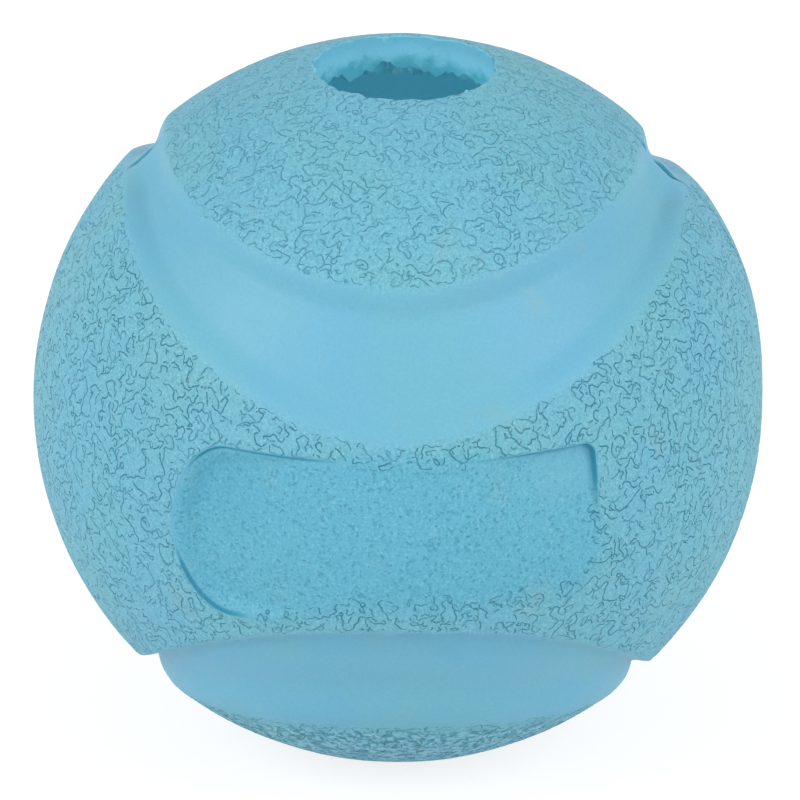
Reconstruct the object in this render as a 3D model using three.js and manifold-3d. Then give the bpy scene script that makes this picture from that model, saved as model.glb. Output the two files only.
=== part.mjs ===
// Hollow rubber fetch ball with a mouth hole, four grooves and one shallow recess.
// Millimetres, +Z up, origin at the ball's centre. The recess faces -Y.
//
// The ball is two half mouldings, front and rear, glued at an upright seam in the XZ plane.
// A mouth hole at the top and one at the bottom cut that seam into a left and a right leg,
// so the cured cement is two C-shaped strips. Azimuth is measured from -Y towards +X.

import * as THREE from "three";
import { mergeVertices } from "three/addons/utils/BufferGeometryUtils.js";
import Module from "manifold-3d";

// Ball
const ballRadius = 37.5;
const wallThickness = 3.75;
const mouthRadius = 9.2;
const standingRimWidth = 1.7; // flat ring round the bottom hole, on which the ball stands

// Seam
const bondThickness = 0.3;
const bondInset = 0.5; // how far the cement stays below every surface of the wall
const lipHeight = 0.75; // the rear half stands this much above the front groove's floor
const lipReach = 9; // length along the rear groove in which the lip dies away

// Grooves, above and below the belly band; edges are latitudes in degrees
const grooveDepth = 1.5;
const capEdgeFront = 39.3;
const capEdgeSide = 49.1;
const capEdgePower = 1.6;
const bandEdgeFront = 15.5;
const bandEdgeSide = 41;
const bandEdgePower = 1.75;
const capSlopeWidth = 3;
const bandSlopeFront = 4.5;
const bandSlopeSide = 2;
const capSlopeMost = 0.55; // share of a narrow groove that the slope under the cap may take
const bandSlopeMost = 0.45;

// Recess in the front of the band, measured along the surface from the ball's front point
const recessLeft = -24.1;
const recessRight = 20.9;
const recessTop = 8.5;
const recessBottom = -10;
const recessLeftEndLength = 6.3; // half-axis of the rounded left end
const recessTopCornerRadius = 1.2;
const recessFootCornerRadius = 4;
const recessEndDepth = 1.35; // at the rounded left end
const recessCornerDepth = 0.9; // at the top right corner
const recessFieldDepth = 0.25; // over the middle
const recessFootRise = 0.9; // the floor comes up through the surface at the bottom right
const leftEndFade = [0.1, 0.6]; // these five are spans along the recess or up it, as shares
const cornerAlong = [0.5, 1];
const cornerUp = [0.3, 1];
const footAlong = [0.3, 0.9];
const footUp = [0.1, 0.6];

// Faceting
const columns = 72;
const capRows = 5;
const slopeRows = 4;
const floorRows = 3;
const bandRows = 6;
const cavityRows = 14;
const recessPoints = 60;
const recessRings = 6;

const rubber = { color: 0x79bdd6, roughness: 0.62, metalness: 0 };
const cement = { color: 0x2f8aa6, roughness: 0.8, metalness: 0 };

const degrees = Math.PI / 180;
const { lerp, smoothstep } = THREE.MathUtils;
const cavityRadius = ballRadius - wallThickness;
const standingHeight = Math.sqrt(ballRadius ** 2 - (mouthRadius + standingRimWidth) ** 2);
const clearOfBall = 2; // what a cutter reaches past the outside
const wasm = await Module();
wasm.setup();

// One groove where it crosses an azimuth: its two edges and how broadly it meets the band.
function grooveAt(azimuth) {
  const side = Math.abs(Math.sin(azimuth));
  return {
    capEdge: lerp(capEdgeFront, capEdgeSide, side ** capEdgePower) * degrees,
    bandEdge: lerp(bandEdgeFront, bandEdgeSide, side ** bandEdgePower) * degrees,
    bandSlope: lerp(bandSlopeFront, bandSlopeSide, side ** 2),
  };
}

// The outer surface from a hole's edge to the equator, as [latitude, radius] pairs.
function outsideRows(azimuth, depth, radius, holeLatitude) {
  const groove = grooveAt(azimuth);
  const width = (groove.capEdge - groove.bandEdge) * radius;
  const capSlope = Math.min(capSlopeWidth, width * capSlopeMost);
  const bandSlope = Math.min(groove.bandSlope, width * bandSlopeMost);
  const rows = [];
  for (let i = 0; i < capRows; i++) {
    rows.push([lerp(holeLatitude, groove.capEdge, i / capRows), radius]);
  }
  const stretches = [
    [0, capSlope, slopeRows],
    [capSlope, width - bandSlope, floorRows],
    [width - bandSlope, width, slopeRows],
  ];
  for (const [start, end, count] of stretches) {
    for (let i = 0; i < count; i++) {
      const across = lerp(start, end, i / count);
      const capShare = smoothstep(across, 0, capSlope);
      const bandShare = smoothstep(width - across, 0, bandSlope);
      rows.push([groove.capEdge - across / radius, radius - depth * capShare * bandShare]);
    }
  }
  for (let i = 0; i < bandRows; i++) {
    rows.push([lerp(groove.bandEdge, 0, i / bandRows), radius]);
  }
  return rows;
}

// The closed section of the wall at one azimuth, as [distance from the axis, height] pairs.
// An inset draws every side of the section into the wall.
function wallSection(azimuth, depth, inset = 0) {
  const outer = ballRadius - inset;
  const inner = cavityRadius + inset;
  const hole = mouthRadius + inset;
  const floor = -standingHeight + inset;
  const upper = outsideRows(azimuth, depth, outer, Math.acos(hole / outer));
  const lower = outsideRows(azimuth, depth, outer, Math.asin(-floor / outer));
  const rows = [...upper, [0, outer], ...lower.reverse().map(([lat, r]) => [-lat, r])];
  const section = rows.map(([lat, r]) => [r * Math.cos(lat), r * Math.sin(lat)]);
  section.push([hole, floor]);
  const brink = Math.acos(hole / inner);
  for (let i = 0; i <= cavityRows; i++) {
    const lat = lerp(-brink, brink, i / cavityRows);
    section.push([inner * Math.cos(lat), inner * Math.sin(lat)]);
  }
  return section;
}

function closedGeometry(points, triangles) {
  const geometry = new THREE.BufferGeometry();
  geometry.setAttribute("position", new THREE.Float32BufferAttribute(points.flat(), 3));
  geometry.setIndex(triangles.flat());
  return geometry;
}

// The whole hollow ball, swept round its axis, with the groove depth given for each azimuth.
function ballForm(depthAt) {
  const points = [];
  const triangles = [];
  const azimuths = Array.from({ length: columns }, (_, c) => ((c + 0.5) / columns) * 2 * Math.PI);
  const sections = azimuths.map((azimuth) => wallSection(azimuth, depthAt(azimuth)));
  const rows = sections[0].length;
  sections.forEach((section, c) => {
    const [sin, cos] = [Math.sin(azimuths[c]), Math.cos(azimuths[c])];
    const next = (c + 1) % columns;
    section.forEach(([away, height], row) => {
      const below = (row + 1) % rows;
      points.push([away * sin, -away * cos, height]);
      triangles.push([c * rows + row, c * rows + below, next * rows + row]);
      triangles.push([next * rows + row, c * rows + below, next * rows + below]);
    });
  });
  return solidFrom(closedGeometry(points, triangles));
}

function solidFrom(geometry) {
  const bare = geometry.clone();
  bare.deleteAttribute("normal");
  bare.deleteAttribute("uv");
  const merged = mergeVertices(bare);
  return new wasm.Manifold(
    new wasm.Mesh({
      numProp: 3,
      vertProperties: merged.attributes.position.array,
      triVerts: new Uint32Array(merged.index.array),
    }),
  );
}

function geometryFrom(solid) {
  const { vertProperties, triVerts } = solid.getMesh();
  const geometry = new THREE.BufferGeometry();
  geometry.setAttribute("position", new THREE.BufferAttribute(vertProperties, 3));
  geometry.setIndex(new THREE.BufferAttribute(triVerts, 1));
  geometry.computeVertexNormals();
  return geometry;
}

// The recess's outline, on the surface unrolled round its front point.
function recessOutline() {
  const middle = (recessTop + recessBottom) / 2;
  const halfHeight = (recessTop - recessBottom) / 2;
  const top = recessTopCornerRadius;
  const foot = recessFootCornerRadius;
  const outline = new THREE.Shape();
  outline.moveTo(recessLeft + recessLeftEndLength, recessBottom);
  outline.lineTo(recessRight - foot, recessBottom);
  outline.absarc(recessRight - foot, recessBottom + foot, foot, -90 * degrees, 0);
  outline.lineTo(recessRight, recessTop - top);
  outline.absarc(recessRight - top, recessTop - top, top, 0, 90 * degrees);
  outline.lineTo(recessLeft + recessLeftEndLength, recessTop);
  outline.absellipse(
    recessLeft + recessLeftEndLength,
    middle,
    recessLeftEndLength,
    halfHeight,
    90 * degrees,
    270 * degrees,
  );
  return outline.getSpacedPoints(recessPoints).slice(0, recessPoints);
}

// Deep at the rounded left end and at the top right corner, skimmed in between,
// and risen clear of the ball at the bottom right.
function recessDepthAt({ x, y }) {
  const along = (x - recessLeft) / (recessRight - recessLeft);
  const up = (y - recessBottom) / (recessTop - recessBottom);
  const leftEnd = 1 - smoothstep(along, ...leftEndFade);
  const corner = smoothstep(along, ...cornerAlong) * smoothstep(up, ...cornerUp);
  const foot = smoothstep(along, ...footAlong) * (1 - smoothstep(up, ...footUp));
  return recessFieldDepth + recessEndDepth * leftEnd + recessCornerDepth * corner - recessFootRise * foot;
}

// What the recess takes away: its outline in rings, from the floor out past the ball.
function recessCutter() {
  const outline = recessOutline();
  const centre = new THREE.Vector2((recessLeft + recessRight) / 2, (recessTop + recessBottom) / 2);
  const points = [];
  const triangles = [];
  const place = (spot, radius) => {
    const azimuth = spot.x / ballRadius;
    const latitude = spot.y / ballRadius;
    const away = radius * Math.cos(latitude);
    points.push([away * Math.sin(azimuth), -away * Math.cos(azimuth), radius * Math.sin(latitude)]);
  };
  for (let ring = 0; ring < recessRings; ring++) {
    for (const corner of outline) {
      const spot = corner.clone().lerp(centre, ring / recessRings);
      place(spot, ballRadius - recessDepthAt(spot));
      place(spot, ballRadius + clearOfBall);
    }
  }
  place(centre, ballRadius - recessDepthAt(centre));
  place(centre, ballRadius + clearOfBall);
  const floorAt = (ring, i) => 2 * (ring * recessPoints + (i % recessPoints));
  const floorCentre = 2 * recessRings * recessPoints;
  for (let i = 0; i < recessPoints; i++) {
    const [here, next] = [floorAt(0, i), floorAt(0, i + 1)];
    triangles.push([here, next, here + 1], [here + 1, next, next + 1]);
    for (let ring = 0; ring + 1 < recessRings; ring++) {
      const [a, b] = [floorAt(ring, i), floorAt(ring, i + 1)];
      const [c, d] = [floorAt(ring + 1, i), floorAt(ring + 1, i + 1)];
      triangles.push([a, c, b], [b, c, d]);
      triangles.push([a + 1, b + 1, c + 1], [b + 1, d + 1, c + 1]);
    }
    const [a, b] = [floorAt(recessRings - 1, i), floorAt(recessRings - 1, i + 1)];
    triangles.push([a, floorCentre, b], [a + 1, b + 1, floorCentre + 1]);
  }
  return solidFrom(closedGeometry(points, triangles));
}

// All of space on one side of the seam, less half the bond's thickness.
function sideOfSeam(sign) {
  const reach = 2 * (ballRadius + clearOfBall);
  const block = new THREE.BoxGeometry(reach, reach, reach);
  block.translate(0, (sign * (reach + bondThickness)) / 2, 0);
  return solidFrom(block);
}

// On the rear half the groove starts shallow at the seam, which leaves a lip there.
function rearGrooveDepth(azimuth) {
  const fromSeam = Math.abs(Math.asin(Math.cos(azimuth))) * ballRadius;
  return grooveDepth - lipHeight * (1 - smoothstep(fromSeam, 0, lipReach));
}

// The film of cured cement on one leg of the seam: the wall's section drawn in all round.
function cementStrip(sign) {
  const section = wallSection(90 * degrees, grooveDepth, bondInset);
  const outline = new THREE.Shape(section.map(([away, height]) => new THREE.Vector2(sign * away, height)));
  const strip = new THREE.ExtrudeGeometry(outline, { depth: bondThickness, bevelEnabled: false });
  strip.rotateX(90 * degrees);
  strip.translate(0, bondThickness / 2, 0);
  return strip;
}

function named(name, geometry, look) {
  const mesh = new THREE.Mesh(geometry, new THREE.MeshStandardMaterial(look));
  mesh.name = name;
  return mesh;
}

const frontShell = ballForm(() => grooveDepth).intersect(sideOfSeam(-1)).subtract(recessCutter());
const rearShell = ballForm(rearGrooveDepth).intersect(sideOfSeam(1));

const fetchBall = new THREE.Group();
fetchBall.add(named("front_shell", geometryFrom(frontShell), rubber));
fetchBall.add(named("rear_shell", geometryFrom(rearShell), rubber));
fetchBall.add(named("seam_cement_left", cementStrip(-1), cement));
fetchBall.add(named("seam_cement_right", cementStrip(1), cement));

export default fetchBall;
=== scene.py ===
# Hollow rubber fetch ball: two half mouldings cemented at an upright seam.
# The recess faces -Y, the mouth hole is at the top, and the ball stands on its bottom hole's rim.
import math

import bpy
import numpy as np
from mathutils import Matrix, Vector, noise


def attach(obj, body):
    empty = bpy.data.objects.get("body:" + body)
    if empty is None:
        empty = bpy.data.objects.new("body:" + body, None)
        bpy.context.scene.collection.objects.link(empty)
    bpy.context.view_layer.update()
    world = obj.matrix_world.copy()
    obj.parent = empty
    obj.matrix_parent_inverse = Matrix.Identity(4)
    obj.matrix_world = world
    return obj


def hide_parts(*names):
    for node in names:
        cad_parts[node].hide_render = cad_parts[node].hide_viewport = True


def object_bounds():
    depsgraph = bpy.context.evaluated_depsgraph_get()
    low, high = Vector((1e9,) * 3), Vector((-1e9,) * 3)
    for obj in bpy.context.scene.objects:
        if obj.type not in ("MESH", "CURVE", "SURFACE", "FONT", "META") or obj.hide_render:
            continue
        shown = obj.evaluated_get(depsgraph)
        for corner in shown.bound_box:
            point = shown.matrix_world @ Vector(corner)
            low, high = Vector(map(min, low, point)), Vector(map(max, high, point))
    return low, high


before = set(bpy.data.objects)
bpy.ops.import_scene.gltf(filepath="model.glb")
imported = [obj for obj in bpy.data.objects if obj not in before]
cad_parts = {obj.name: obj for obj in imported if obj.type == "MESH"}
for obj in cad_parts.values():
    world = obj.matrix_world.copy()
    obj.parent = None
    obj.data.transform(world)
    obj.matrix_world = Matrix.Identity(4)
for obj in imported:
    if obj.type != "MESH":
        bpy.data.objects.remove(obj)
cad_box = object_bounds()
bpy.ops.object.select_all(action="DESELECT")


# Camera. A long lens twenty ball radii away, looking down on the front at the photograph's angle.
# The ball's middle lies a little left of and above the picture's.
mm = 0.001
ball_radius = 37.5 * mm
camera_distance = 20 * ball_radius
camera_elevation = math.radians(23)
picture_width = 800
ball_radius_in_picture = 364.5
ball_left_of_middle = 2.0
ball_above_middle = 2.5
sensor_width = 36.0

towards_camera = Vector((0, -math.cos(camera_elevation), math.sin(camera_elevation)))
picture_up = Vector((0, math.sin(camera_elevation), math.cos(camera_elevation)))
pixel = ball_radius / ball_radius_in_picture
focal_pixels = ball_radius_in_picture * math.sqrt((camera_distance / ball_radius) ** 2 - 1)
aim = Vector((ball_left_of_middle * pixel, 0, 0)) - picture_up * (ball_above_middle * pixel)
bpy.ops.object.camera_add(location=aim + towards_camera * camera_distance)
camera = bpy.context.active_object
camera.rotation_mode = "QUATERNION"
camera.rotation_quaternion = (-towards_camera).to_track_quat("-Z", "Y")
camera.data.sensor_width = sensor_width
camera.data.lens = focal_pixels / picture_width * sensor_width
camera.data.clip_start = 0.01
camera.data.clip_end = 20
bpy.context.scene.camera = camera


# Floor and light. A white sweep in an even white tent, with a large softbox on either side of the
# camera. The camera sees the sweep as white but for the ball's faint shadow. A little light comes up
# through the sweep and the ball's bottom hole, and shows the inside of the wall.
class Value:
    """One output of a node. Sums written with it add Math nodes."""

    def __init__(self, tree, socket):
        self.tree = tree
        self.socket = socket

    def maths(self, operation, first, second=0.0):
        return self.tree.node("ShaderNodeMath", {"operation": operation}, {0: first, 1: second})

    def __add__(self, other):
        return self.maths("ADD", self, other)

    def __sub__(self, other):
        return self.maths("SUBTRACT", self, other)

    def __rsub__(self, other):
        return self.maths("SUBTRACT", other, self)

    def __mul__(self, other):
        return self.maths("MULTIPLY", self, other)

    def __truediv__(self, other):
        return self.maths("DIVIDE", self, other)

    def __pow__(self, other):
        return self.maths("POWER", self, other)

    def __abs__(self):
        return self.maths("ABSOLUTE", self)

    __radd__ = __add__
    __rmul__ = __mul__

    def larger(self, other):
        return self.maths("MAXIMUM", self, other)

    def ramp(self, low, high):
        """0 at low, 1 at high, eased in between; low may be the higher number."""
        if low > high:
            return 1 - self.ramp(high, low)
        settings = {"interpolation_type": "SMOOTHSTEP"}
        inputs = {"Value": self, "From Min": low, "From Max": high}
        return self.tree.node("ShaderNodeMapRange", settings, inputs)


class Tree:
    """A node tree of a material, the world or a relief modifier."""

    def __init__(self, tree):
        self.tree = tree

    def node(self, kind, settings, inputs, output=0):
        made = self.tree.nodes.new(kind)
        for name, setting in settings.items():
            setattr(made, name, setting)
        for name, value in inputs.items():
            if isinstance(value, Value):
                self.tree.links.new(value.socket, made.inputs[name])
            else:
                made.inputs[name].default_value = value
        return Value(self, made.outputs[output])

    def noise(self, where, size, detail=2.0):
        """Cloudy noise, about 0.2 to 0.8, with lumps of the size given in metres."""
        inputs = {"Vector": where, "Scale": 1 / size, "Detail": detail}
        return self.node("ShaderNodeTexNoise", {}, inputs)

    def vector(self, operation, *numbered, **named):
        inputs = {**dict(enumerate(numbered)), **named}
        return self.node("ShaderNodeVectorMath", {"operation": operation}, inputs)

    def along(self, where, axis):
        """One coordinate of a place."""
        return self.node("ShaderNodeSeparateXYZ", {}, {"Vector": where}, axis)

    def mix(self, share, first, second):
        """A colour between two."""
        return self.node("ShaderNodeMix", {"data_type": "RGBA"}, {0: share, 6: first, 7: second}, 2)

    def surface(self, shader, output_kind="ShaderNodeOutputMaterial"):
        output = self.tree.nodes.new(output_kind)
        self.tree.links.new(shader.socket, output.inputs["Surface"])


def new_material(name):
    made = bpy.data.materials.new(name)
    made.use_nodes = True
    made.node_tree.nodes.clear()
    return made, Tree(made.node_tree)


def seen_directly(nodes):
    """1 where the camera, a reflection or glass looks, 0 where light is gathered."""
    camera_ray, glossy_ray, transmission_ray = (
        nodes.node("ShaderNodeLightPath", {}, {}, f"Is {kind} Ray")
        for kind in ("Camera", "Glossy", "Transmission")
    )
    return camera_ray.larger(glossy_ray).larger(transmission_ray)


floor_width = 4.0
floor_colour = (0.9, 0.9, 0.9, 1)
floor_glow = 0.82
floor_shadow_colour = (0.3, 0.3, 0.3, 1)
tent_colour = (0.95, 0.98, 1, 1)
tent_strength = 0.55
softbox_width = 0.6
softbox_distance = 1.0
softbox_elevation = math.radians(31)
softbox_swing = math.radians(60)
left_softbox_power = 4.2
right_softbox_power = 3.8
glow_width = 16 * mm
glow_power = 0.0095

bpy.ops.mesh.primitive_plane_add(size=floor_width, location=(0, 0, cad_box[0].z))
floor = bpy.context.active_object
floor.name = "floor"
floor_finish, nodes = new_material("white_sweep")
lit = nodes.node("ShaderNodeBsdfDiffuse", {}, {"Color": floor_colour})
shaded = nodes.node("ShaderNodeBsdfDiffuse", {}, {"Color": floor_shadow_colour})
glow = nodes.node("ShaderNodeEmission", {}, {"Color": (1, 1, 1, 1), "Strength": floor_glow})
white = nodes.node("ShaderNodeAddShader", {}, {0: shaded, 1: glow})
nodes.surface(nodes.node("ShaderNodeMixShader", {}, {0: seen_directly(nodes), 1: lit, 2: white}))
floor.data.materials.append(floor_finish)

tent = bpy.data.worlds.new("white_tent")
bpy.context.scene.world = tent
tent.use_nodes = True
tent.node_tree.nodes.clear()
nodes = Tree(tent.node_tree)
soft = nodes.node("ShaderNodeBackground", {}, {"Color": tent_colour, "Strength": tent_strength})
plain = nodes.node("ShaderNodeBackground", {}, {"Color": (1, 1, 1, 1), "Strength": 1.0})
white = nodes.node("ShaderNodeMixShader", {}, {0: seen_directly(nodes), 1: soft, 2: plain})
nodes.surface(white, "ShaderNodeOutputWorld")

for side, power in ((-1, left_softbox_power), (1, right_softbox_power)):
    swing = side * softbox_swing
    towards_lamp = Vector((math.sin(swing), -math.cos(swing), math.tan(softbox_elevation)))
    towards_lamp = towards_lamp.normalized()
    bpy.ops.object.light_add(type="AREA", location=towards_lamp * softbox_distance)
    softbox = bpy.context.active_object
    softbox.data.size = softbox_width
    softbox.data.energy = power
    softbox.rotation_mode = "QUATERNION"
    softbox.rotation_quaternion = (-towards_lamp).to_track_quat("-Z", "Y")
glow_place = (0, 0, cad_box[0].z + 0.5 * mm)
bpy.ops.object.light_add(type="AREA", location=glow_place, rotation=(math.pi, 0, 0))
glow_under_hole = bpy.context.active_object
glow_under_hole.data.shape = "DISK"
glow_under_hole.data.size = glow_width
glow_under_hole.data.energy = glow_power
bpy.context.scene.view_settings.view_transform = "Standard"


# Front moulding. One half of the ball in natural rubber, press-moulded with a crackled grain on its
# caps and belly band, smooth grooves between them and a shallow recess. A core pin leaves the holes.
wall = 3.75 * mm
mouth_radius = 9.2 * mm
mouth_right_of_middle = 0.65 * mm
rim_radius = 0.3 * mm
rim_unevenness = 0.28
seam_gap = 0.06 * mm
groove_depth = 1.5 * mm
narrowest_groove = 0.5 * mm
top_cap_slope, top_cap_slope_most = 3.0 * mm, 0.55
bottom_cap_slope, bottom_cap_slope_most = 6.5 * mm, 0.7
band_slope_front, band_slope_side, band_slope_most = 4.5 * mm, 2.0 * mm, 0.45
under_band_slope = 1.5 * mm
seam_rise = 0.86
seam_rise_reach = 9.0 * mm
crease_width = 0.9 * mm
shoulder_height = 0.62 * mm
shoulder_full_latitude = math.radians(22)
recess_left, recess_right = -24.1 * mm, 20.9 * mm
recess_bottom, recess_top = -10.0 * mm, 8.5 * mm
recess_end_length = 6.3 * mm
recess_top_corner = 1.2 * mm
recess_foot_corner = 4.0 * mm
recess_foot_rise, recess_foot_rise_start, recess_foot_rise_length = 3.3 * mm, 7.5 * mm, 13 * mm
recess_end_depth = 1.5 * mm
recess_corner_depth = 0.75 * mm
recess_middle_depth = 0.12 * mm
recess_lip_width, recess_lip_share = 0.16 * mm, 0.2
standing_height = -cad_box[0].z
touching = 0.01 * mm
front_half_angle = 1.2
seam_detail_reaches = (1.0 * mm, 0.45 * mm)
seam_detail_latitude = 0.9
hole_detail_reach = 1.2 * mm
recess_detail_reach = 0.8 * mm
grain_detail_reach = 0.2 * mm
recess_snap_reach = 0.09 * mm
cavity_edge_reach = 1.35 * mouth_radius
cavity_edge_wave, cavity_edge_height = 2.0 * mm, 1.6 * mm
bore_wave = 1.9 * mm
bore_chips_in_mm, bore_chips_lean = 0.32, 0.26
furrow_size, furrow_width, furrow_depth = 2.2 * mm, 0.4 * mm, 0.08 * mm
pimple_size, pimple_height = 0.8 * mm, 0.08 * mm
swell_size, swell_height = 9 * mm, 0.25 * mm
skin_height = 0.08 * mm

# Latitudes of the grooves' edges in degrees, and how late each edge bends towards the seam. Of each
# pair, the second number is what the right leg of the seam adds to the first and the left takes off.
cap_edge_front, cap_bend = 39.3, 1.6
top_cap_at_seam = (50.3, -0.9)
rear_top_cap_at_seam, rear_top_cap_bend = (49.8, -1.3), (6.2, 1.9)
bottom_cap_at_seam = (48.9, 0.5)
band_edge_front = 15.5
top_band_at_seam, top_band_bend = (40.4, -1.4), 1.75
bottom_band_at_seam, bottom_band_bend = (45.7, 1.1), 2.4
rear_right_band_drop = 1.6
crease_depth_in_mm = (0.32, 0.12)

# Where a groove's slopes and depth differ from the rest: by what share, and how softly that begins.
rear_left_extra_slope, rear_left_fade = 0.4, 0.3
side_extra_slope = 0.6
front_left_extra_depth, front_left_fade = 0.3, 0.4

# Where the parts of the recess's floor begin and how long they take to reach their full depth, in
# shares of the recess's length and of its height.
end_along = (0.03, 0.37)
corner_along, corner_up = (0.62, 0.34), (0.3, 0.65)
foot_along, foot_up = (0.18, 0.25), (0.15, 0.4)

# Which points count as the outer surface: how deep they may lie, near a hole and elsewhere.
hole_reach = 1.0 * mm
outer_depth_near_hole, outer_depth = 0.5 * mm, 2.9 * mm


def ease(share):
    share = np.clip(share, 0, 1)
    return share * share * (3 - 2 * share)


def ease_from(value, start, length):
    """0 up to the start, 1 from a length past it, eased in between."""
    return ease((value - start) / length)


def quarter_round(share):
    """Height of a quarter circle's profile, 0 at its foot and 1 at its top."""
    return np.sqrt(1 - (1 - np.clip(share, 0, 1)) ** 2)


def leaning(pair, right):
    """A value that differs from the left leg of the seam to the right one."""
    return pair[0] + pair[1] * right


def angles(points):
    """Azimuth from the front towards the right, and latitude."""
    azimuth = np.arctan2(points[:, 0], -points[:, 1])
    latitude = np.arcsin(points[:, 2] / np.linalg.norm(points, axis=1))
    return azimuth, latitude


def unrolled(azimuth, latitude):
    """Distances along the surface to the right of the front point and above it."""
    return azimuth * ball_radius, latitude * ball_radius


def groove_edges(azimuth, latitude):
    """Latitudes of the cap's and the band's edge of a groove, which draw together at the seam."""
    right = np.sin(azimuth)
    side = np.abs(right)
    upper = latitude > 0
    upper_rear = upper & (np.cos(azimuth) < 0)
    cap_at_seam = np.where(upper, leaning(top_cap_at_seam, right), leaning(bottom_cap_at_seam, right))
    cap_at_seam = np.where(upper_rear, leaning(rear_top_cap_at_seam, right), cap_at_seam)
    bend = np.where(upper_rear, leaning(rear_top_cap_bend, right), cap_bend)
    cap_edge = cap_edge_front + (cap_at_seam - cap_edge_front) * side**bend
    bottom_band = leaning(bottom_band_at_seam, right)
    band_at_seam = np.where(upper, leaning(top_band_at_seam, right), bottom_band)
    band_at_seam = band_at_seam - rear_right_band_drop * upper_rear * np.maximum(right, 0)
    bend = np.where(upper, top_band_bend, bottom_band_bend)
    band_edge = band_edge_front + (band_at_seam - band_edge_front) * side**bend
    return np.radians(cap_edge), np.radians(band_edge)


def groove_share(azimuth, latitude):
    """How much of a groove's full depth there is at a point. Under the top cap at the rear left and
    under the band at the sides the slope is longer; at the front left the bottom groove is deeper."""
    cap_edge, band_edge = groove_edges(azimuth, latitude)
    right, back = np.sin(azimuth), -np.cos(azimuth)
    upper = latitude > 0
    width = np.maximum((cap_edge - band_edge) * ball_radius, narrowest_groove)
    under_top_cap = np.minimum(top_cap_slope, width * top_cap_slope_most)
    under_bottom_cap = np.minimum(bottom_cap_slope, width * bottom_cap_slope_most)
    rear_left = np.maximum(-right, 0) * ease(back / rear_left_fade)
    under_cap = np.where(upper, under_top_cap, under_bottom_cap)
    under_cap = under_cap * (1 + rear_left_extra_slope * rear_left * upper)
    over_band = band_slope_front + (band_slope_side - band_slope_front) * right**2
    under_band = under_band_slope * (1 + side_extra_slope * right**4)
    beside_band = np.minimum(np.where(upper, over_band, under_band), width * band_slope_most)
    from_cap = (cap_edge - np.abs(latitude)) * ball_radius
    from_band = (np.abs(latitude) - band_edge) * ball_radius
    low_left = (1 - upper) * np.maximum(-right, 0) ** 4 * ease(-back / front_left_fade)
    depth = 1 + front_left_extra_depth * low_left
    return depth * ease(from_cap / under_cap) * ease(from_band / beside_band)


def from_seam(azimuth):
    """Distance along the surface to the nearer leg of the seam."""
    return np.abs(np.arcsin(np.cos(azimuth))) * ball_radius


def inside_recess(azimuth, latitude):
    """Distance inside the recess's outline, negative outside it."""
    x, y = unrolled(azimuth, latitude)
    foot_risen = ease_from(x - recess_left, recess_foot_rise_start, recess_foot_rise_length)
    bottom = recess_bottom + recess_foot_rise * foot_risen
    middle, half = (recess_top + bottom) / 2, (recess_top - bottom) / 2
    corner = np.where(y > middle, recess_top_corner, recess_foot_corner)
    over_x = np.maximum(x - (recess_right - corner), 0)
    over_y = np.maximum(np.abs(y - middle) - (half - corner), 0)
    box = np.minimum(recess_right - x, half - np.abs(y - middle))
    box = np.where((over_x > 0) & (over_y > 0), corner - np.hypot(over_x, over_y), box)
    u = (x - recess_left - recess_end_length) / recess_end_length
    v = (y - middle) / half
    q = np.maximum(np.hypot(u, v), 1e-6)
    steepness = np.maximum(np.hypot(u / recess_end_length, v / half) / q, 1e-6)
    return np.where(u > 0, box, (1 - q) / steepness)


def faint_edge(azimuth, latitude):
    """0.85 where the recess's left end rolls in softly, 0 along the rest of its edge."""
    x, y = unrolled(azimuth, latitude)
    return 0.85 * ease_from(-x, 20.5 * mm, 2.5 * mm) * ease_from(y, -6.5 * mm, 4 * mm)


def recess_depth(azimuth, latitude):
    """A scooped left end, a pocket at the top right, and a floor that skims the surface between."""
    inside = inside_recess(azimuth, latitude)
    x, y = unrolled(azimuth, latitude)
    along = (x - recess_left) / (recess_right - recess_left)
    up = (y - recess_bottom) / (recess_top - recess_bottom)
    left_end = recess_end_depth * (1 - ease_from(along, *end_along))
    corner = recess_corner_depth * ease_from(along, *corner_along) * ease_from(up, *corner_up)
    foot = ease_from(along, *foot_along) * (1 - ease_from(up, *foot_up))
    rounding = 0.25 * mm + 2.4 * mm * (1 - ease(along / 0.4))
    crisp = 1 - faint_edge(azimuth, latitude)
    lip_share = recess_lip_share * crisp
    lip = lip_share * quarter_round(inside / recess_lip_width)
    wall_shape = lip + (1 - lip_share) * ease(inside / rounding)
    middle = recess_middle_depth * ease(inside / (3 * mm))
    return ((left_end + corner) * wall_shape + middle) * (1 - foot)


def shoulder(azimuth, latitude):
    """Height of the slight bulge high on the right, which leaves the groove as it is."""
    cap_edge, band_edge = groove_edges(azimuth, latitude)
    middle, half = (cap_edge + band_edge) / 2, (cap_edge - band_edge) / 2
    beside_groove = 1 - np.exp(-(((latitude - middle) / (1.4 * half)) ** 4))
    beside_groove = np.where(latitude > middle, 0.5, 1) * beside_groove
    bulge = np.maximum(np.sin(azimuth), 0) ** 4 * ease(latitude / shoulder_full_latitude)
    return shoulder_height * bulge * beside_groove


def seam_nearness(azimuth):
    """1 at the seam, 0 where a groove has its full depth."""
    return 1 - ease(from_seam(azimuth) / seam_rise_reach)


def in_front(azimuth):
    """Whether a point is on the side of the ball where the recess is."""
    return np.abs(azimuth) < front_half_angle


def from_mouth(points):
    """Distance outside the edge of the mouth hole or the bottom hole, for points on a unit ball."""
    right_of_hole = points[:, 0] - mouth_right_of_middle / ball_radius
    return np.hypot(right_of_hole, points[:, 1]) * ball_radius - mouth_radius


def rounded_rim(points):
    """How far the surface falls away to a hole's rounded rim."""
    around = np.arctan2(points[:, 1], points[:, 0])
    waves = ((5, 1), (11, 2), (19, 0), (31, 4))
    wobble = sum(np.sin(count * around + start) for count, start in waves)
    radius = rim_radius * (1 + rim_unevenness * wobble)
    return radius * (1 - quarter_round(from_mouth(points) / radius))


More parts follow.
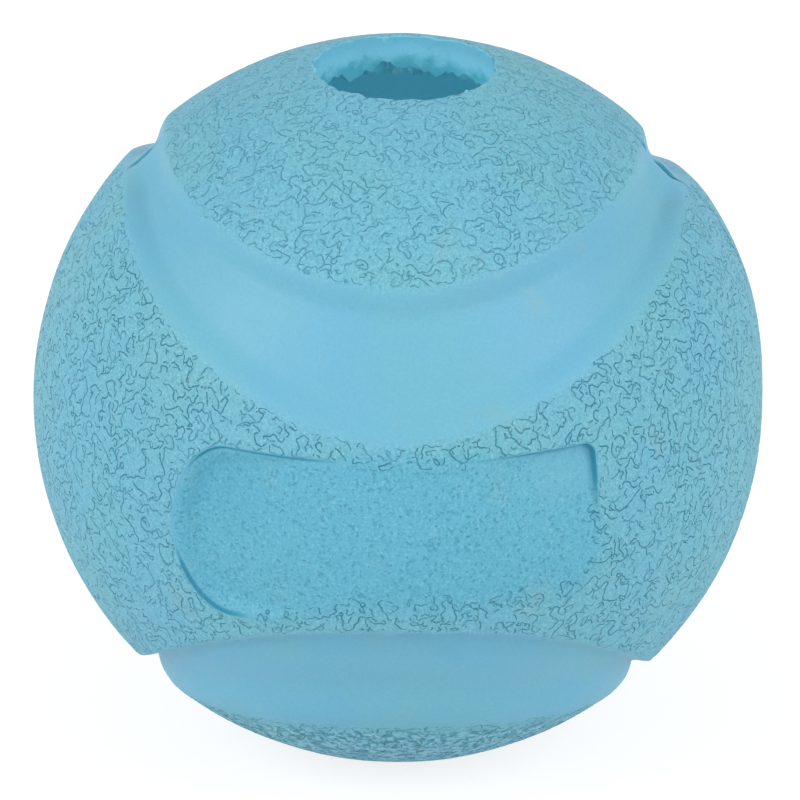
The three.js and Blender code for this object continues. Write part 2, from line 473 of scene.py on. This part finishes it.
def recess_edge(azimuth, latitude):
    """How crisp the recess's edge is: 1 round the left end and at the top right corner, else 0."""
    x, y = unrolled(azimuth, latitude)
    along_foot = ease_from(x, -19 * mm, 5 * mm) * ease_from(-y, 6 * mm, 2 * mm)
    at_left = ease_from(-x, 4 * mm, 7 * mm) * (1 - along_foot)
    at_right = ease_from(x, 9 * mm, 6 * mm) * ease_from(y, 1 * mm, 5 * mm)
    return at_left + at_right


def recess_edge_line(azimuth, latitude, width):
    """The shaded line just inside the recess's edge."""
    line = np.exp(-(((inside_recess(azimuth, latitude) - 0.06 * mm) / width) ** 2))
    return line * recess_edge(azimuth, latitude) * (1 - faint_edge(azimuth, latitude))


def front_depth(points):
    """How far the front moulding's outer surface lies inside the full ball."""
    azimuth, latitude = angles(points)
    crease_depth = leaning(crease_depth_in_mm, np.sin(azimuth)) * mm
    crease = crease_depth * np.exp(-((from_seam(azimuth) / crease_width) ** 1.5))
    floor_depth = groove_depth * (1 - seam_rise * seam_nearness(azimuth))
    groove = (floor_depth + crease) * groove_share(azimuth, latitude)
    pressed = groove + recess_depth(azimuth, latitude) + rounded_rim(points)
    return pressed - shoulder(azimuth, latitude)


def vertices_of(piece):
    flat = np.empty(len(piece.data.vertices) * 3, np.float32)
    piece.data.vertices.foreach_get("co", flat)
    return flat.reshape(-1, 3).astype(float)


def move_vertices(piece, points):
    piece.data.vertices.foreach_set("co", points.astype(np.float32).ravel())
    piece.data.update()


def only(piece):
    """Selects one object and makes it active."""
    bpy.ops.object.select_all(action="DESELECT")
    piece.select_set(True)
    bpy.context.view_layer.objects.active = piece


def face_middles(piece):
    flat = np.empty(len(piece.data.polygons) * 3, np.float32)
    piece.data.polygons.foreach_get("center", flat)
    return flat.reshape(-1, 3).astype(float)


def select_faces(piece, picked):
    """Leaves the piece in edit mode with just the picked faces selected."""
    only(piece)
    bpy.context.tool_settings.mesh_select_mode = (False, False, True)
    bpy.ops.object.mode_set(mode="EDIT")
    bpy.ops.mesh.select_all(action="DESELECT")
    bpy.ops.object.mode_set(mode="OBJECT")
    piece.data.polygons.foreach_set("select", picked)
    bpy.ops.object.mode_set(mode="EDIT")


def split_faces(piece, picked):
    select_faces(piece, picked)
    bpy.ops.mesh.subdivide(number_cuts=1, ngon=False)
    bpy.ops.object.mode_set(mode="OBJECT")


def refine(piece, wanted):
    """Splits each outer face whose middle the test picks."""
    middles = face_middles(piece)
    outer = np.linalg.norm(middles, axis=1) > 0.9 * ball_radius
    split_faces(piece, outer & wanted(*angles(middles)))


def snap_to_rim(directions):
    """Slides the points next to the recess's outline onto it, so that its rim is one clean edge."""
    azimuth, latitude = angles(directions)
    step = 1e-5
    inside = inside_recess(azimuth, latitude)
    across = (inside_recess(azimuth + step, latitude) - inside) / step
    upwards = (inside_recess(azimuth, latitude + step) - inside) / step
    steepness = np.maximum(across**2 + upwards**2, 1e-12)
    near = (np.abs(inside) < recess_snap_reach) & in_front(azimuth)
    slide = np.where(near, inside / steepness, 0)
    azimuth, latitude = azimuth - slide * across, latitude - slide * upwards
    level = np.cos(latitude)
    return np.stack([np.sin(azimuth) * level, -np.cos(azimuth) * level, np.sin(latitude)], axis=1)


def cut(piece, tool):
    """Cuts the tool out of the piece and removes the tool."""
    only(piece)
    boolean = piece.modifiers.new("cut", "BOOLEAN")
    boolean.operation = "DIFFERENCE"
    boolean.solver = "MANIFOLD"
    boolean.object = tool
    bpy.ops.object.modifier_apply(modifier=boolean.name)
    bpy.data.objects.remove(tool)


def inside_grain(azimuth, latitude):
    """Distance inside the grained caps and band, negative in the smooth grooves."""
    cap_edge, band_edge = groove_edges(azimuth, latitude)
    past_edge = 0.3 * mm * np.abs(np.sin(azimuth))
    from_cap = (np.abs(latitude) - cap_edge) * ball_radius + past_edge
    from_band = (band_edge - np.abs(latitude)) * ball_radius
    return np.maximum(from_cap, from_band)


def wants_fine_mesh(azimuth, latitude):
    """Where the grain's relief comes."""
    on_recess_floor = in_front(azimuth) & (inside_recess(azimuth, latitude) > 1.5 * mm)
    return (inside_grain(azimuth, latitude) > -grain_detail_reach) & ~on_recess_floor


def beside_seam(azimuth, latitude, reach):
    return (from_seam(azimuth) < reach) & (np.abs(latitude) < seam_detail_latitude)


def beside_hole(azimuth, latitude):
    return np.abs(np.cos(latitude) * ball_radius - mouth_radius) < hole_detail_reach


def beside_recess(azimuth, latitude):
    return np.abs(inside_recess(azimuth, latitude)) < recess_detail_reach


def on_crisp_edge(azimuth, latitude):
    return recess_edge_line(azimuth, latitude, 0.3 * mm) > 0.3


def half_ball(name, sign, depth_at):
    """A sphere split at the seam, refined where detail comes, and pressed into its outer shape."""
    bpy.ops.mesh.primitive_ico_sphere_add(subdivisions=7, radius=ball_radius)
    half = bpy.context.active_object
    half.name = name
    bpy.ops.object.mode_set(mode="EDIT")
    bpy.ops.mesh.select_all(action="SELECT")
    bpy.ops.mesh.bisect(
        plane_co=(0, 0, 0),
        plane_no=(0, 1, 0),
        use_fill=True,
        clear_inner=sign > 0,
        clear_outer=sign < 0,
    )
    bpy.ops.object.mode_set(mode="OBJECT")
    refine(half, wants_fine_mesh)
    for reach in seam_detail_reaches:
        refine(half, lambda azimuth, latitude: beside_seam(azimuth, latitude, reach))
    refine(half, beside_hole)
    if sign < 0:
        refine(half, beside_recess)
        refine(half, on_crisp_edge)
    points = vertices_of(half)
    directions = points / np.linalg.norm(points, axis=1)[:, None]
    on_seam = np.abs(points[:, 1]) < touching
    if sign < 0:
        directions = snap_to_rim(directions)
    points = directions * (ball_radius - depth_at(directions))[:, None]
    points[on_seam, 1] = sign * seam_gap / 2
    move_vertices(half, points)
    return half


def ragged(place, size, amount):
    """A smooth wobble that differs from place to place, for trimmed rubber edges."""
    return amount * noise.fractal(place / size, 0.8, 2.0, 3)


def hollow_out(half):
    """Cuts the cavity, the two holes through the wall and the flat rim that the ball stands on."""
    bpy.ops.mesh.primitive_ico_sphere_add(subdivisions=5, radius=ball_radius - wall)
    cavity = bpy.context.active_object
    for reach in (1.8 * mouth_radius, 1.5 * mouth_radius, 1.25 * mouth_radius):
        middles = face_middles(cavity)
        split_faces(cavity, np.hypot(middles[:, 0], middles[:, 1]) < reach)
    for vertex in cavity.data.vertices:
        near_hole = math.exp(-((math.hypot(vertex.co.x, vertex.co.y) / cavity_edge_reach) ** 4))
        bulge = near_hole * ragged(vertex.co, cavity_edge_wave, cavity_edge_height)
        vertex.co *= 1 + bulge / ball_radius
    cut(half, cavity)
    bpy.ops.mesh.primitive_cylinder_add(
        vertices=240,
        radius=mouth_radius,
        depth=2.2 * ball_radius,
        location=(mouth_right_of_middle, 0, 0),
    )
    pin = bpy.context.active_object
    bpy.ops.object.mode_set(mode="EDIT")
    bpy.ops.mesh.select_all(action="DESELECT")
    bpy.ops.object.mode_set(mode="OBJECT")
    for edge in pin.data.edges:
        ends = [pin.data.vertices[i].co for i in edge.vertices]
        edge.select = abs(ends[0].z - ends[1].z) > ball_radius
    bpy.context.tool_settings.mesh_select_mode = (False, True, False)
    bpy.ops.object.mode_set(mode="EDIT")
    bpy.ops.mesh.subdivide(number_cuts=160)
    bpy.ops.object.mode_set(mode="OBJECT")
    for vertex in pin.data.vertices:
        chips = (bore_chips_in_mm - bore_chips_lean * vertex.co.y / mouth_radius) * mm
        widening = 1 + ragged(vertex.co, bore_wave, chips) / mouth_radius
        vertex.co.x *= widening
        vertex.co.y *= widening
    cut(half, pin)
    block_height = 10 * mm
    bpy.ops.mesh.primitive_cube_add(size=1, location=(0, 0, -standing_height - block_height / 2))
    block = bpy.context.active_object
    block.scale = (3 * ball_radius, 3 * ball_radius, block_height)
    bpy.ops.object.transform_apply(location=False, rotation=False, scale=True)
    cut(half, block)


def mark(half):
    """Stores where each finish lies: coarse grain, the recess's fine grain, and the outer surface,
    and where light and shade are painted: in creases, in the recess, and on the grain under the ball."""
    points = vertices_of(half)
    radius = np.linalg.norm(points, axis=1)
    azimuth, latitude = angles(points)
    outside_hole = from_mouth(points / ball_radius)
    deepest = np.where(outside_hole < hole_reach, outer_depth_near_hole, outer_depth)
    above_floor = points[:, 2] > -standing_height + touching
    outer = (radius > ball_radius - deepest) & (outside_hole > 0.12 * mm) & above_floor
    on_recess_side = (points[:, 1] < 0) & in_front(azimuth)
    inside = np.where(on_recess_side, inside_recess(azimuth, latitude), -1.0)
    blurred = 1 - np.clip(recess_edge(azimuth, latitude) / 0.5, 0, 1)
    softness = (0.5 + 2.7 * blurred) * mm
    coarse = ease(inside_grain(azimuth, latitude) / (1.2 * mm) + 0.5)
    outside_recess = ease(0.5 + 0.3 * blurred - (inside + 0.1 * mm) / softness)
    # Painted shade: a dark line along the recess's crisp rim, the seam's crease in the grooves, and
    # the recess's deep left end.
    recess_rim_shade = np.minimum(1.4 * recess_edge_line(azimuth, latitude, 0.14 * mm), 1)
    recess_rim_shade = np.where(on_recess_side, recess_rim_shade, 0)
    x, y = unrolled(azimuth, latitude)
    calm = 1 - 0.6 * ease_from(x, 11 * mm, 6 * mm) * ease_from(y, 1 * mm, 5 * mm)
    hollow_shade = 0.2 * ease(inside / (1.5 * mm))
    hollow_shade = hollow_shade * ease_from(-x, 10 * mm, 9 * mm) * ease_from(y, -4 * mm, 9 * mm)
    below_cap_edge = (-latitude - groove_edges(azimuth, latitude)[0]) * ball_radius
    in_groove = ease(groove_share(azimuth, latitude) / 0.6)
    seam_crease_shade = in_groove * np.exp(-((from_seam(azimuth) / (0.4 * mm)) ** 2))
    marks = {
        "grain": outer * coarse * outside_recess,
        "fine_grain": outer * calm * ease(0.3 + 0.35 * blurred + (inside - 0.1 * mm) / softness),
        "shaded_crease": outer * np.maximum(np.maximum(recess_rim_shade, seam_crease_shade), hollow_shade),
        "low_cap": outer * ease(below_cap_edge / (2.5 * mm)),
        "outside": outer * 1.0,
    }
    for name, amounts in marks.items():
        attribute = half.data.attributes.new(name, "FLOAT", "POINT")
        attribute.data.foreach_set("value", amounts.astype(np.float32))


def furrows(tree, where, size, width, border=0.0, spread=0.0):
    """Winding furrows of an even width along the level lines of a noise: 1 in a furrow's middle.
    The border closes the lines up at the grain's edge, where it rises from 0 to more than 0.3. Where
    the noise is nearly level there is no furrow."""
    step = 0.12 * mm
    least_rise, faint_rise, full_rise = 0.004, 0.011, 0.02
    place = tree.vector("ADD", where, (spread, 0, 0))
    outward = tree.vector("NORMALIZE", where)
    sideways = tree.vector("NORMALIZE", tree.vector("CROSS_PRODUCT", outward, (0.05, 0, 1)))
    upwards = tree.vector("CROSS_PRODUCT", sideways, outward)
    here = tree.noise(place, size, 1.0)
    steepness = least_rise**2
    for direction in (sideways, upwards):
        there = tree.vector("ADD", place, tree.vector("SCALE", direction, Scale=step))
        rise = tree.noise(there, size, 1.0) - here
        steepness = steepness + rise * rise
    distance = abs(here + border - 0.5) / steepness**0.5 * step
    return distance.ramp(width, 0.25 * width) * steepness.ramp(faint_rise**2, full_rise**2)


def add_relief(half):
    """Presses the grain and the moulding's slight unevenness into the outer surface."""
    group = bpy.data.node_groups.new("grain_relief", "GeometryNodeTree")
    group.interface.new_socket("Geometry", in_out="INPUT", socket_type="NodeSocketGeometry")
    group.interface.new_socket("Geometry", in_out="OUTPUT", socket_type="NodeSocketGeometry")
    tree = Tree(group)
    solid = tree.node("NodeGroupInput", {}, {})
    where = tree.node("GeometryNodeInputPosition", {}, {})

    def marked(name):
        return tree.node("GeometryNodeInputNamedAttribute", {"data_type": "FLOAT"}, {"Name": name})

    valleys = furrows(tree, where, furrow_size, furrow_width) * marked("grain") * furrow_depth
    pimples = (tree.noise(where, pimple_size) - 0.5) * marked("fine_grain") * pimple_height
    swell = (tree.noise(where, swell_size, 1.0) - 0.5) * marked("outside") * swell_height
    skin = (1 - marked("grain")) * marked("outside") * skin_height
    depth = valleys + pimples + swell + skin
    outward = tree.vector("NORMALIZE", where)
    push = tree.vector("SCALE", outward, Scale=0 - depth)
    moved = tree.node("GeometryNodeSetPosition", {}, {"Geometry": solid, "Offset": push})
    group_output = group.nodes.new("NodeGroupOutput")
    group.links.new(moved.socket, group_output.inputs[0])
    only(half)
    relief = half.modifiers.new("relief", "NODES")
    relief.node_group = group
    bpy.ops.object.modifier_apply(modifier=relief.name)


aqua = (0.157, 0.468, 0.648, 1)
sea_green = (0.172, 0.49, 0.578, 1)
deep_blue = (0.012, 0.26, 0.39, 1)
painted_shade_teal = (0.025, 0.24, 0.33, 1)
shaded_cavity_blue = (0.11, 0.50, 0.62, 1)
recess_blue_and_shade = (0.112, 0.45, 0.605, 1)
pale_and_highlight = (0.33, 0.66, 0.76, 1)
lit_inner_blue = (0.26, 0.70, 0.88, 1)
stain = (0.24, 0.46, 0.49, 1)

long_line_size, long_line_width = 1.8 * mm, 0.08 * mm
short_line_size, short_line_width, short_line_shift = 1.2 * mm, 0.075 * mm, 0.3
fleck_size = 0.42 * mm
grit_size = 0.26 * mm
speck_spacing = 5 * mm

# Distances from the ball's middle, inside the wall: where each shade begins and where it is full.
cavity_shade, cavity_shade_full = 35.6 * mm, 34.2 * mm
bore_marks, bore_marks_full = 34.0 * mm, 34.6 * mm
rim_shade, rim_shade_full = 35.6 * mm, 37.3 * mm

rubber, nodes = new_material("aqua_rubber")
where = nodes.node("ShaderNodeTexCoord", {}, {}, "Object")
grain, fine_grain, crease, outside, low_cap = (
    nodes.node("ShaderNodeAttribute", {"attribute_name": name}, {}, "Fac")
    for name in ("grain", "fine_grain", "shaded_crease", "outside", "low_cap")
)
patchy = nodes.noise(where, 1.1 * mm, 1.0)
border = (1 - grain) * 0.4
long_lines = furrows(nodes, where, long_line_size, long_line_width, border)
long_lines = long_lines * patchy.ramp(0.40, 0.48)
short_lines = furrows(nodes, where, short_line_size, short_line_width, border, short_line_shift)
short_lines = short_lines * patchy.ramp(0.51, 0.44)
grain_lines = long_lines.larger(short_lines) * grain.ramp(0.05, 0.25)
flecks = nodes.noise(where, fleck_size, 1.0).ramp(0.40, 0.33) * fine_grain * patchy.ramp(0.2, 0.6)
right, behind_seam, up = (nodes.along(where, axis) for axis in "XYZ")
at_right = right.ramp(0, 15 * mm)
near_mouth = up.ramp(26 * mm, 29 * mm)
seam_shown = nodes.noise(where, 7 * mm, 1.0).ramp(0.32, 0.46) * (at_right * 0.7 + 0.2)
parting_line = abs(behind_seam).ramp(0.3 * mm, 0.1 * mm) * seam_shown * (1 - near_mouth * 0.6)
on_top = up.ramp(18 * mm, 26 * mm)
low_down = up.ramp(-24 * mm, -32 * mm)
strength = nodes.noise(where, 2.5 * mm, 1.0).ramp(0.3, 0.6) * 0.45 + 0.6
# The grain's lines are painted fainter on top, where more light falls, and darker low down: painted
# light and shade.
strength = strength - on_top * 0.32 + low_down * 0.15
lines = (grain_lines * strength).larger(parting_line).larger(flecks * 0.45)
cloud = nodes.noise(where, 14 * mm, 3.0).ramp(0.4, 0.65)
colour = nodes.mix(cloud * 0.5 + grain * 0.4, aqua, sea_green)
# The recess is tinted a darker blue: partly its finer finish, partly painted shade in the recess.
colour = nodes.mix(fine_grain * 0.85, colour, recess_blue_and_shade)
# Surfaces inside the wall, in the holes and the cavity, are painted a lighter blue: painted light.
colour = nodes.mix(outside, lit_inner_blue, colour)
from_middle = nodes.node("ShaderNodeVectorMath", {"operation": "LENGTH"}, {0: where}, "Value")
# Deeper inside, past a ragged line, the wall turns a darker blue: painted shade in the cavity.
ragged_shade_depth = from_middle + (nodes.noise(where, 1.5 * mm, 3.0) - 0.5) * (3.5 * mm)
cavity_darkening = ragged_shade_depth.ramp(cavity_shade, cavity_shade_full) * (1 - outside)
colour = nodes.mix(cavity_darkening, colour, shaded_cavity_blue)
on_wall = (1 - outside) * from_middle.ramp(bore_marks, bore_marks_full)
wall_marks = nodes.noise(where, 0.7 * mm, 2.0).ramp(0.38, 0.28) * on_wall
blot = nodes.noise(where, 6 * mm, 4.0).ramp(0.60, 0.76)
colour = nodes.mix(blot * 0.4, colour, stain)
grit = nodes.noise(where, grit_size, 1.0)
gritty = grain.larger(fine_grain * 0.75) * 0.75 + 0.25
colour = nodes.mix(grit.ramp(0.5, 0.32) * gritty * 0.3, colour, deep_blue)
colour = nodes.mix(grit.ramp(0.55, 0.72) * gritty * 0.36, colour, pale_and_highlight)
speck_cells = {"Vector": where, "Scale": 1 / speck_spacing}
speck = nodes.node("ShaderNodeTexVoronoi", {}, speck_cells, "Distance").ramp(0.022, 0.012)
# The top of the bore's wall, under the mouth's rim, is painted darker: painted shade.
under_rim = from_middle.ramp(rim_shade, rim_shade_full) * (1 - outside)
# The darkness gathers the grain's lines, specks and wall marks with the painted shade of the creases
# and under the rim.
darkness = (lines * 0.85).larger(speck * 0.5).larger(crease * 0.9)
darkness = darkness.larger(wall_marks * 0.3).larger(under_rim * 0.25)
# Under the ball, dark and pale strokes on the grain are painted shade and painted highlights for its
# relief.
stroke_noise = nodes.noise(where, 0.8 * mm, 1.0)
colour = nodes.mix(low_cap * stroke_noise.ramp(0.48, 0.40) * 0.85, colour, painted_shade_teal)
colour = nodes.mix(low_cap * stroke_noise.ramp(0.53, 0.6) * 0.5, colour, pale_and_highlight)
colour = nodes.mix(darkness, colour, deep_blue)
height = (1 - lines) * 0.13 + grit * (gritty * 0.07)
bump = nodes.node("ShaderNodeBump", {}, {"Height": height, "Distance": mm, "Strength": 1.0})
roughness = nodes.noise(where, 2 * mm) * 0.1 + grain * 0.08 + 0.45
surface = {"Base Color": colour, "Roughness": roughness, "Normal": bump, "IOR": 1.45}
nodes.surface(nodes.node("ShaderNodeBsdfPrincipled", {}, surface))


def finish_half(half, node):
    half.data.materials.clear()
    half.data.materials.append(rubber)
    only(half)
    bpy.ops.object.shade_smooth_by_angle(angle=math.radians(40))
    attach(half, "root")
    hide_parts(node)


front = half_ball("front_moulding", -1, front_depth)
hollow_out(front)
mark(front)
add_relief(front)


# Cured cement. A film of rubber cement in each leg of the seam, darker than the mouldings and drawn
# in below their surface. Each leg has the front moulding's section at the seam.
film_thickness = 0.05 * mm
film_scale = 0.997
damp_cement = (0.05, 0.25, 0.33, 1)
dry_cement = (0.09, 0.34, 0.44, 1)

cement, nodes = new_material("cured_cement")
where = nodes.node("ShaderNodeTexCoord", {}, {}, "Object")
dried = nodes.noise(where, 1.2 * mm).ramp(0.35, 0.65)
colour = nodes.mix(dried, damp_cement, dry_cement)
lumps = nodes.noise(where, 0.4 * mm)
bump = nodes.node("ShaderNodeBump", {}, {"Height": lumps, "Distance": 0.05 * mm})
surface = {"Base Color": colour, "Roughness": 0.7, "Normal": bump}
nodes.surface(nodes.node("ShaderNodeBsdfPrincipled", {}, surface))

select_faces(front, np.abs(face_middles(front)[:, 1] + seam_gap / 2) < 0.001 * mm)
bpy.ops.mesh.duplicate()
bpy.ops.mesh.separate(type="SELECTED")
bpy.ops.object.mode_set(mode="OBJECT")
film = next(piece for piece in bpy.context.selected_objects if piece != front)
only(film)
bpy.ops.object.mode_set(mode="EDIT")
bpy.ops.mesh.select_all(action="SELECT")
bpy.ops.mesh.extrude_region_move(TRANSFORM_OT_translate={"value": (0, film_thickness, 0)})
bpy.ops.mesh.select_all(action="SELECT")
bpy.ops.mesh.normals_make_consistent(inside=False)
bpy.ops.transform.resize(value=(film_scale, 1, film_scale))
bpy.ops.mesh.separate(type="LOOSE")
bpy.ops.object.mode_set(mode="OBJECT")
legs = bpy.context.selected_objects
legs = sorted(legs, key=lambda leg: sum(corner[0] for corner in leg.bound_box))
for leg, side in zip(legs, ("left", "right")):
    leg.name = f"cement_film_{side}"
    leg.data.materials.clear()
    leg.data.materials.append(cement)
    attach(leg, "root")
    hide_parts(f"seam_cement_{side}")
finish_half(front, "front_shell")


# Rear moulding. The other half, with the same grain and grooves and no recess. At the seam a low lip
# with a slightly rounded edge stands on the band's side of each groove.
seam_edge_depth = 0.3 * mm
seam_edge_radius = 0.6 * mm
lip_share_of_groove, lip_fade = 0.55, 0.35


def rear_depth(points):
    """How far the rear moulding's outer surface lies inside the full ball."""
    azimuth, latitude = angles(points)
    edge = seam_edge_depth * (1 - quarter_round(from_seam(azimuth) / seam_edge_radius))
    cap_edge, band_edge = groove_edges(azimuth, latitude)
    up_the_groove = (np.abs(latitude) - band_edge) / np.maximum(cap_edge - band_edge, 0.01)
    lip = seam_nearness(azimuth) * (1 - ease_from(up_the_groove, lip_share_of_groove, lip_fade))
    groove = (groove_depth * (1 - seam_rise * lip) + edge) * groove_share(azimuth, latitude)
    return groove + rounded_rim(points) - shoulder(azimuth, latitude)


rear = half_ball("rear_moulding", 1, rear_depth)
hollow_out(rear)
mark(rear)
add_relief(rear)
finish_half(rear, "rear_shell")
